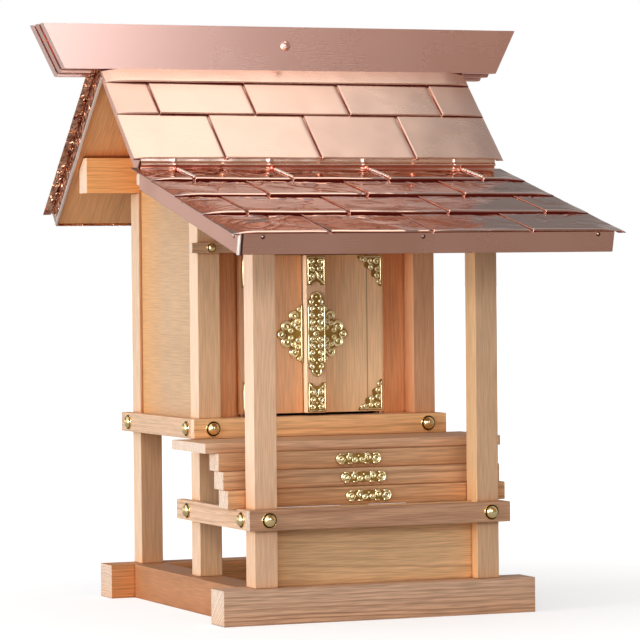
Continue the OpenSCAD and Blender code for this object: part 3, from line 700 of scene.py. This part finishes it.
# A look is: slow warp, sideways tilt, curl at the hem's ends, folds, reach and drop of the hem,
# grid pace, gap beside the next sheet. A course then says where it starts under the one above,
# where it comes out and where its hem is
SATIN = (0.45, 0.3, 0.5, 0.0, (0.9, 0.7), 3.0, 1.2)
MIRROR = (0.55, 0.25, 0.0, 1.2, (2.0, 1.2), 1.5, 2.2)
front = new_sheets()
lay_course(front, front_slope, (), (12.0, 12.0, 43.9), STRIP, 1.0, SATIN)
lay_course(front, front_slope, WIDE, (34.0, 43.9, 88.9), LAP, 2.0, SATIN)
lay_course(front, front_slope, NARROW, (78.0, 88.9, 151.2), LAP, 3.0, SATIN)
front_sheets = keep("main_front_sheets", front, roof_copper, "shrine")
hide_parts("main_front_copper")
rear = new_sheets()
lay_course(rear, rear_slope, (), (12.0, 12.0, 43.9), STRIP, 4.0, SATIN, True)
lay_course(rear, rear_slope, WIDE, (34.0, 43.9, 88.9), LAP, 5.0, SATIN, True)
lay_course(rear, rear_slope, NARROW, (78.0, 88.9, 153.45), LAP, 6.0, SATIN, True)
lay_course(rear, rear_slope, WIDE, (143.0, 153.45, 218.0), LAP, 7.0, SATIN, True)
rear_sheets = keep("main_rear_sheets", rear, roof_copper, "shrine")
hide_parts("main_rear_copper")
porch = new_sheets()
lay_course(porch, porch_slope, WIDE, (PORCH_TOP, PORCH_TOP, PORCH_FIRST), PORCH_LAP, 8.0, MIRROR)
lay_course(porch, porch_slope, NARROW, (52.0, PORCH_FIRST, 127.7), PORCH_LAP, 9.0, MIRROR)
lay_course(porch, porch_slope, WIDE, (116.0, 127.7, 200.0), PORCH_LAP, 10.0, MIRROR)
lay_course(porch, porch_slope, NARROW, (188.0, 200.0, 275.0), PORCH_LAP, 11.0, MIRROR)
porch_sheets = keep("porch_sheets", porch, porch_copper, "shrine")
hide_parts("porch_copper")
for sheets in (front_sheets, rear_sheets, porch_sheets):
    sheets.data.materials.append(crinkled_copper)
print("sheets:", [len(p.data.polygons) for p in (front_sheets, rear_sheets, porch_sheets)], "faces")

# %% [markdown]
# ## Eave flashing
# Where the main roof ends above the porch, a narrow upright strip closes the gap. Its own
# folded seams stand up as pale ribs, and the porch mirrors them. The strip is one grid with
# a rib pushed out at each seam.

# %% Flashing
flash = bmesh.new()
ribs = (-146.0, -52.0, 43.0, 137.0)
FLASH_HALF, FLASH_OUT = 179.0, 12.6
# The strip's section, from its top down: height and how far it stands out
section = [(421.0, 0.0), (417.5, 0.1), (415.6, 0.2), (415.1, 0.9), (414.4, 1.7)]
section += [(413.7, 1.9), (413.1, 1.5), (412.8, 0.4), (412.4, -0.8), (409.4, -0.8)]
at_ribs = [rib + d for rib in ribs for d in (-1.6, -1.1, -0.5, 0.5, 1.1, 1.6)]
rows = []
for z, out in section:
    row = []
    for x in sorted(steps(-FLASH_HALF, FLASH_HALF, 4.0) + at_ribs):
        rib = max(0.0, 1.0 - min(abs(x - r) for r in ribs) / 1.5) ** 0.5
        push = out + 0.8 * rib + 0.35 * noise.noise(Vector((x * 0.05, z * 0.1, 2.0)))
        row.append(Vector((x * MM, (-FLASH_OUT - push) * MM + front_y, z * MM)))
    rows.append(row)
lay_grid(flash, rows[::-1])
keep("eave_flashing", flash, flash_copper, "shrine")
print("flashing with", len(ribs), "seams")

# %% [markdown]
# ## Verge lips
# The edging on the rear gables is turned out at its lower side. The narrow lip catches light from the floor,
# and its copper is made paler as a painted highlight, so it shows as a pale line between the crinkled band
# and the wood. It is a strip with a rounded section, laid down the slope on both sides.

# %% Lips
lips = bmesh.new()
for side in (-1, 1):
    rows = []
    for s in steps(14.0, 213.0, 7.0):
        wave = 0.25 * noise.noise(Vector((s * 0.06, side, 9.0)))
        stops = [(178.4, -16.4), (179.6 + wave, -16.6), (180.4 + wave, -17.4)]
        stops += [(180.4 + wave, -18.4), (179.5, -19.1), (178.0, -19.1)]
        rows.append([rear_slope(side * x, s, n) for x, n in stops])
    lay_grid(lips, rows if side > 0 else rows[::-1])
verge_lips = keep("verge_lips", lips, pale_copper, "shrine")
print("verge lips:", len(verge_lips.data.polygons), "faces")

# %% [markdown]
# ## Gilt brass
# The nail caps and plates are brass with a thin gilt layer, so they mirror the room in yellow. Dirt stays in
# the hollows, which an occlusion node finds, and shows as dark brown; in the grooves of the caps the same
# darkening is painted shade.

# %% Brass finish
def brass_finish(name, bright, dark, rough, depth):
    finish, tree, shader, here = new_finish(name)
    hollow = openness(tree, 0.0016, 6)
    metal = place_group(tree, dents, {"Vector": here, "Size": 220.0})
    # Darker in hollows: dirt in the plates, painted shade in the grooves of the caps
    tone = blend(tree, ramp(tree, hollow, 0.2, 0.75), dark, bright)
    tone = blend(tree, sums(tree, "MULTIPLY", metal["Tarnish"], 0.25), tone, tuple(c * 0.7 for c in bright))
    tree.links.new(tone, shader.inputs["Base Color"])
    shader.inputs["Metallic"].default_value = 1.0
    tree.links.new(ramp(tree, metal["Tarnish"], 0.0, 1.0, rough, rough + 0.14), shader.inputs["Roughness"])
    emboss(tree, shader, metal["Height"], 0.5, depth)
    return finish


gilt = brass_finish("gilt_brass", (1.0, 0.93, 0.60), (0.30, 0.17, 0.04), 0.28, 0.0002)
ground = brass_finish("plate_ground", (0.37, 0.23, 0.06), (0.05, 0.025, 0.008), 0.4, 0.0003)
polished = brass_finish("polished_caps", (0.98, 0.80, 0.42), (0.03, 0.015, 0.005), 0.05, 0.00005)
# The caps' grooves are painted near black as shade
groove = brass_finish("cap_groove", (0.07, 0.035, 0.012), (0.03, 0.015, 0.005), 0.4, 0.0001)
print("brass: gilt ribs, dark ground and polished caps")

# %% [markdown]
# ## Scrollwork
# The plates on the doors and steps are cut and chased in scrolls. Each scroll is a rib: a path of points,
# most often a spiral, swept with a half-round section that thins at its ends. The patterns are built from
# lobes, and all but the corner pattern are mirrored, so those plates are even on both sides. Raising them by
# displacement would need a very fine mesh, while swept ribs stay crisp with few faces.
# The solid plate underneath becomes the dark ground that shows between the ribs.

# %% Ribs and beads
def lay_rib(maker, path, width, height, place):
    rows = []
    for i, (u, v) in enumerate(path):
        before, after = path[max(0, i - 1)], path[min(len(path) - 1, i + 1)]
        along = Vector((after[0] - before[0], after[1] - before[1])).normalized()
        share = i / (len(path) - 1)
        body = min(1.0, 0.35 + 4.0 * share, 0.35 + 4.0 * (1.0 - share))
        row = []
        for turn in (0, 40, 90, 140, 180):
            side = math.cos(math.radians(turn)) * width / 2 * body
            rise = math.sin(math.radians(turn)) * height * body
            row.append(place(u - along.y * side, v + along.x * side, rise))
        rows.append(row)
    lay_grid(maker, rows)


def lay_bead(maker, u, v, radius, height, place):
    rings_of_bead = []
    for lift in (0, 35, 65, 89):
        reach = radius * math.cos(math.radians(lift))
        rise = height * math.sin(math.radians(lift))
        rings_of_bead.append([place(u + reach * math.cos(a), v + reach * math.sin(a), rise)
                              for a in (math.tau * k / 12 for k in range(13))])
    lay_grid(maker, rings_of_bead)


def spiral(u, v, radius, start, turns):
    count = max(10, int(22 * abs(turns)))
    path = []
    for i in range(count + 1):
        angle = math.radians(start) + turns * math.tau * i / count
        reach = radius * (1.0 - 0.84 * i / count)
        path.append((u + reach * math.cos(angle), v + reach * math.sin(angle)))
    return path


def arc(u, v, radius, start, stop):
    return [(u + radius * math.cos(a), v + radius * math.sin(a))
            for a in (math.radians(start + (stop - start) * i / 16) for i in range(17))]


def line(*corners):
    path = []
    for (u0, v0), (u1, v1) in zip(corners, corners[1:]):
        path += [(u0 + (u1 - u0) * i / 8, v0 + (v1 - v0) * i / 8) for i in range(8)]
    return path + [corners[-1]]


# Width and height of a scroll's rib and of the plain rib round a plate
RIB, RISE = 2.0, 1.05
BORDER, BORDER_RISE = 1.3, 0.9


def scroll(maker, place, u, v, radius, start, turns=1.25):
    """A spiral with a bead in its eye."""
    lay_rib(maker, spiral(u, v, radius, start, turns), RIB, RISE, place)
    lay_bead(maker, u, v, 0.62, 0.6, place)


def both(place):
    """The given place and its mirror image across u = 0."""
    return place, lambda u, v, rise: place(-u, v, rise)


print("rib maker ready")


# %% Patterns
def end_pattern(maker, place):
    for half in both(place):
        lay_rib(maker, line((0, 0.8), (8.1, 0.8), (8.1, 26.4)), BORDER, BORDER_RISE, half)
        scroll(maker, half, 3.7, 4.9, 3.1, 110, -1.3)
        scroll(maker, half, 3.5, 11.4, 3.0, 250, 1.3)
        scroll(maker, half, 3.9, 18.2, 2.7, 100, -1.2)
        lay_rib(maker, line((0.9, 14.6), (2.2, 20.6), (4.8, 22.4), (7.2, 25.6)), RIB, RISE, half)
    for v in (8.2, 14.8):
        lay_bead(maker, 0, v, 1.0, 0.9, place)


def long_pattern(maker, place):
    for half in both(place):
        for flip in (1, -1):
            part = lambda u, v, rise, half=half, flip=flip: half(u, v * flip, rise)
            lay_rib(maker, line((8.1, 0), (8.1, 27.2), (4.0, 27.6)), BORDER, BORDER_RISE, part)
            scroll(maker, part, 3.9, 4.6, 3.0, 200, -1.3)
            scroll(maker, part, 3.5, 11.2, 3.0, 260, 1.3)
            scroll(maker, part, 3.9, 17.8, 3.0, 100, -1.3)
            scroll(maker, part, 3.6, 24.0, 2.6, 260, 1.2)
            scroll(maker, part, 4.2, 30.6, 2.7, 250, 1.2)
            lay_rib(maker, arc(0, 34.6, 4.4, 90, -20), RIB, RISE, part)
    for v in (-35.0, -27.2, -14.6, -7.6, 7.6, 14.6, 27.2, 35.0):
        lay_bead(maker, 0, v, 1.15, 0.95, place)
    lay_rib(maker, arc(0, 0, 2.2, 0, 360), RIB, RISE, place)
    lay_bead(maker, 0, 0, 1.0, 0.9, place)


def wing_pattern(maker, place):
    lay_rib(maker, line((0.9, -26.4), (0.9, 26.4)), BORDER, BORDER_RISE, place)
    for flip in (1, -1):
        part = lambda u, v, rise, flip=flip: place(u, v * flip, rise)
        scrolls = [(8.4, 17.0, 3.9, 200), (16.2, 7.2, 4.4, 190), (3.8, 23.0, 2.0, 250), (4.6, 12.4, 2.9, 60)]
        scrolls += [(9.6, 9.6, 2.6, 270), (4.4, 5.4, 3.0, 250), (11.6, 3.6, 2.6, 80)]
        for u, v, radius, start in scrolls:
            scroll(maker, part, u, v, radius, start, -1.3)
        lay_rib(maker, arc(8.4, 17.0, 4.2, -40, 120), RIB, RISE, part)
        lay_rib(maker, arc(16.2, 7.2, 4.6, -60, 150), RIB, RISE, part)
    scroll(maker, place, 21.4, 0.0, 3.9, 180, 1.4)


def corner_pattern(maker, place):
    lay_rib(maker, line((22.6, 0.9), (0.9, 0.9), (0.9, 27.0)), BORDER, BORDER_RISE, place)
    scrolls = [(4.9, 5.2, 3.2, 200, 1.3), (4.4, 12.2, 2.9, 260, -1.3), (4.0, 18.8, 2.6, 260, 1.2)]
    scrolls += [(3.2, 24.2, 1.9, 260, -1.1), (11.2, 4.6, 2.9, 180, -1.3), (17.0, 4.0, 2.4, 180, 1.2)]
    scrolls += [(10.4, 10.8, 2.8, 220, 1.3), (20.6, 2.8, 1.5, 180, -1.1)]
    for u, v, radius, start, turns in scrolls:
        scroll(maker, place, u, v, radius, start, turns)


def step_pattern(maker, place):
    for half in both(place):
        scroll(maker, half, 17.0, 0, 3.7, 180, 1.5)
        scroll(maker, half, 9.4, 0.9, 3.1, 200, -1.3)
        scroll(maker, half, 3.4, -0.8, 2.9, 20, -1.3)
        for u in (8.5, 17.0):
            lay_rib(maker, arc(u, 0, 4.5, 60, 125), RIB, RISE, half)
            lay_rib(maker, arc(u, 0, 4.5, 235, 300), RIB, RISE, half)
        lay_rib(maker, arc(17.0, 0, 4.5, -60, 60), RIB, RISE, half)
    lay_bead(maker, 0, 2.6, 1.0, 0.8, place)


print("five patterns ready")


# %% Lay the scrollwork
SUNK = 0.1


def on_face(node, u0, v0, across=1, upward=1):
    """Place points on the front of a plate; u and v run from a corner or centre in mm."""
    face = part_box(node)[0].y

    def place(u, v, rise):
        return Vector(((u0 + across * u) * MM, face - (rise - SUNK) * MM, (v0 + upward * v) * MM))
    return place


leaf_low, leaf_top = (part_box("left_door_plates")[i].z / MM for i in (0, 1))
leaf_mid, outer = (leaf_low + leaf_top) / 2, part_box("right_door_plates")[1].x / MM
left_inner, right_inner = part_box("left_door_plates")[1].x / MM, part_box("right_door_plates")[0].x / MM
leaves = (
    ("left_door_plates", left_inner, -1, "left_leaf"),
    ("right_door_plates", right_inner, 1, "right_leaf"),
)
work = {}
for node, inner, sign, body in leaves:
    maker = bmesh.new()
    corner_pattern(maker, on_face(node, sign * outer, leaf_low, -sign))
    corner_pattern(maker, on_face(node, sign * outer, leaf_top, -sign, -1))
    wing_pattern(maker, on_face(node, inner, leaf_mid, sign))
    work[node] = keep(node.replace("plates", "scrolls"), maker, gilt, body)
maker = bmesh.new()
end_pattern(maker, on_face("batten_plates", 0, leaf_low))
end_pattern(maker, on_face("batten_plates", 0, leaf_top, 1, -1))
long_pattern(maker, on_face("batten_plates", 0, leaf_mid))
work["batten_plates"] = keep("batten_scrolls", maker, gilt, "right_leaf")


def islands(node):
    """Boxes of the separate solids inside one node, in mm."""
    copy = bmesh.new()
    copy.from_mesh(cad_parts[node].data)
    copy.transform(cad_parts[node].matrix_world)
    bmesh.ops.remove_doubles(copy, verts=copy.verts, dist=WELD)
    left, boxes = set(copy.verts), []
    while left:
        open_ends = [left.pop()]
        found = list(open_ends)
        while open_ends:
            for edge in open_ends.pop().link_edges:
                for vert in edge.verts:
                    if vert in left:
                        left.discard(vert)
                        open_ends.append(vert)
                        found.append(vert)
        spots = [v.co / MM for v in found]
        boxes.append(tuple(Vector(pick(s[i] for s in spots) for i in range(3)) for pick in (min, max)))
    copy.free()
    return boxes


maker = bmesh.new()
for low, high in islands("step_plates"):
    face, middle = low.y, (low.z + high.z) / 2
    step_pattern(maker, lambda u, v, rise: Vector((u, face - rise + SUNK, middle + v)) * MM)
work["step_plates"] = keep("step_scrolls", maker, gilt, "shrine")
for node in work:
    dress(node, ground)
print("scrollwork:", {piece.name: len(piece.data.polygons) for piece in work.values()})

# %% [markdown]
# ## Domed nail heads
# Each cap over a post is a spun dome with a thin rim, and a groove between them painted dark as shade.
# A profile turned round the axis of the solid cap gives it. A screw modifier could turn the
# profile too, but a grid made here lets the groove take a finish of its own. The caps' places
# and directions are read from the solids.

# %% Turned caps
# Half of a cap's section as shares of its radius and rise: rim, groove, then the dome
DOME, SIDES = 0.79, 40
profile = [(1.0, 0.0), (1.0, 0.14), (0.98, 0.20), (0.94, 0.20)]
profile += [(0.92, 0.08), (0.91, 0.02), (0.81, 0.02), (DOME, 0.18)]
profile += [(DOME * math.cos(a), 0.22 + 0.78 * math.sin(a)) for a in map(math.radians, range(10, 91, 10))]
bands = len(profile) - 1
caps = bmesh.new()
for low, high in islands("band_domes"):
    size = high - low
    axis = min(range(3), key=lambda i: size[i])
    centre = (low + high) / 2
    outward = -1 if (axis == 1 or centre.x < 0) else 1
    base = high[axis] if outward < 0 else low[axis]
    radius, rise = max(size) / 2, size[axis]
    one, two = [i for i in range(3) if i != axis]
    rows = []
    for k in range(SIDES + 1):
        row = []
        for reach, lift in profile:
            spot = Vector((0, 0, 0))
            spot[axis] = base + outward * lift * rise
            spot[one] = centre[one] + radius * reach * math.cos(math.tau * k / SIDES)
            spot[two] = centre[two] + radius * reach * math.sin(math.tau * k / SIDES)
            row.append(spot * MM)
        rows.append(row)
    lay_grid(caps, rows)
    caps.faces.ensure_lookup_table()
    # Groove faces take the dark finish painted as shade
    for i, face in enumerate(caps.faces[-SIDES * bands:]):
        face.material_index = int(3 <= i % bands <= 6)
bmesh.ops.remove_doubles(caps, verts=caps.verts, dist=0.00001)
bmesh.ops.recalc_face_normals(caps, faces=caps.faces)
nail_caps = keep("turned_caps", caps, polished, "shrine")
nail_caps.data.materials.append(groove)
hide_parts("band_domes")
print("caps with", len(nail_caps.data.polygons), "faces")

# %% [markdown]
# ## Small copper work
# The porch edging is nailed in seven places and folded over itself at its left front corner.
# The fold is a narrow strip of pale copper, paler as a painted highlight, that stands off the leaning face
# in slow waves, with a dark gap beside it painted as shadow. The seams of the top course are crimped, which
# a row of small beads, paler as a painted highlight, shows.

# %% Nails and folds
EDGING_HEIGHT = 19.0
edge_low, edge_high = (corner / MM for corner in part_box("porch_edging"))
edging_rise = EDGING_HEIGHT * math.cos(PORCH_PITCH)


def edging_front(z):
    """Y of the edging's front face, which leans back towards its lower edge."""
    return edge_low.y + (edge_low.z + edging_rise - z) * math.tan(PORCH_PITCH)


def on_front(u, v, rise):
    return Vector((u, edging_front(v) - rise, v)) * MM


def on_side(x, side):
    return lambda u, v, rise: Vector(((x + side * rise) * MM, u * MM + front_y, v * MM))


front_nails = ((-157.0, 344.5), (-7.0, 344.0), (163.0, 345.0))
side_nails = ((-248.6, 345.5), (-121.0, 378.0))
small = bmesh.new()
# A nail is a dark ring painted as shadow, and then a small bright head on it, paler as a painted highlight,
# that sits a little off its middle
for size, height, off in ((2.0, 0.4, 0.0), (0.9, 1.0, 0.5)):
    for x, z in front_nails:
        lay_bead(small, x - off, z + off, size, height, on_front)
    for side, x in ((-1, edge_low.x), (1, edge_high.x)):
        for y, z in side_nails:
            lay_bead(small, y - off, z + off, size, height, on_side(x, side))
small.faces.ensure_lookup_table()
for face in small.faces[len(small.faces) // 2:]:
    face.material_index = 1
copper_trim = keep("porch_edging_nails", small, nail_shadow, "shrine")
copper_trim.data.materials.append(pale_copper)
fold = bmesh.new()
rows = []
for z in steps(edge_low.z, edge_low.z + edging_rise, 1.3):
    sway = 0.4 * noise.noise(Vector((z * 0.25, 1.0, 4.0)))
    stops = [(-0.4, 2.0), (-0.45, -0.4), (-0.2, -0.9), (0.7, -1.1)]
    stops += [(1.5 + sway, -1.8), (1.6 + sway, -1.4), (4.2 + sway, -0.1)]
    rows.append([Vector((edge_low.x + dx, edging_front(z) + dy, z)) * MM for dx, dy in stops])
lay_grid(fold, rows[::-1])
# The last strip of each row is the dark gap beside the fold, painted as shadow
strips = len(stops) - 1
for face in list(fold.faces)[strips - 1::strips]:
    face.material_index = 1
corner_fold = keep("porch_corner_fold", fold, pale_copper, "shrine")
corner_fold.data.materials.append(nail_shadow)
print("porch nails:", len(copper_trim.data.polygons), "faces; corner fold:", len(corner_fold.data.polygons))

# %% Crimped seams
# The beads are pale copper, paler as a painted highlight
crimps = bmesh.new()
for x in WIDE:
    for s in steps(16.0, 58.0, 5.4):
        n = PORCH_LAP[0] + (PORCH_LAP[1] - PORCH_LAP[0]) * (s - PORCH_TOP) / (PORCH_FIRST - PORCH_TOP)
        lay_bead(crimps, x + 0.6, s, 1.6, 1.5, lambda u, v, rise: porch_slope(u, v, n + rise - 0.2))
crimped = keep("crimped_seams", crimps, pale_copper, "shrine")
print("crimped seams:", len(crimped.data.polygons), "faces")

# %% Finish
bpy.context.view_layer.update()
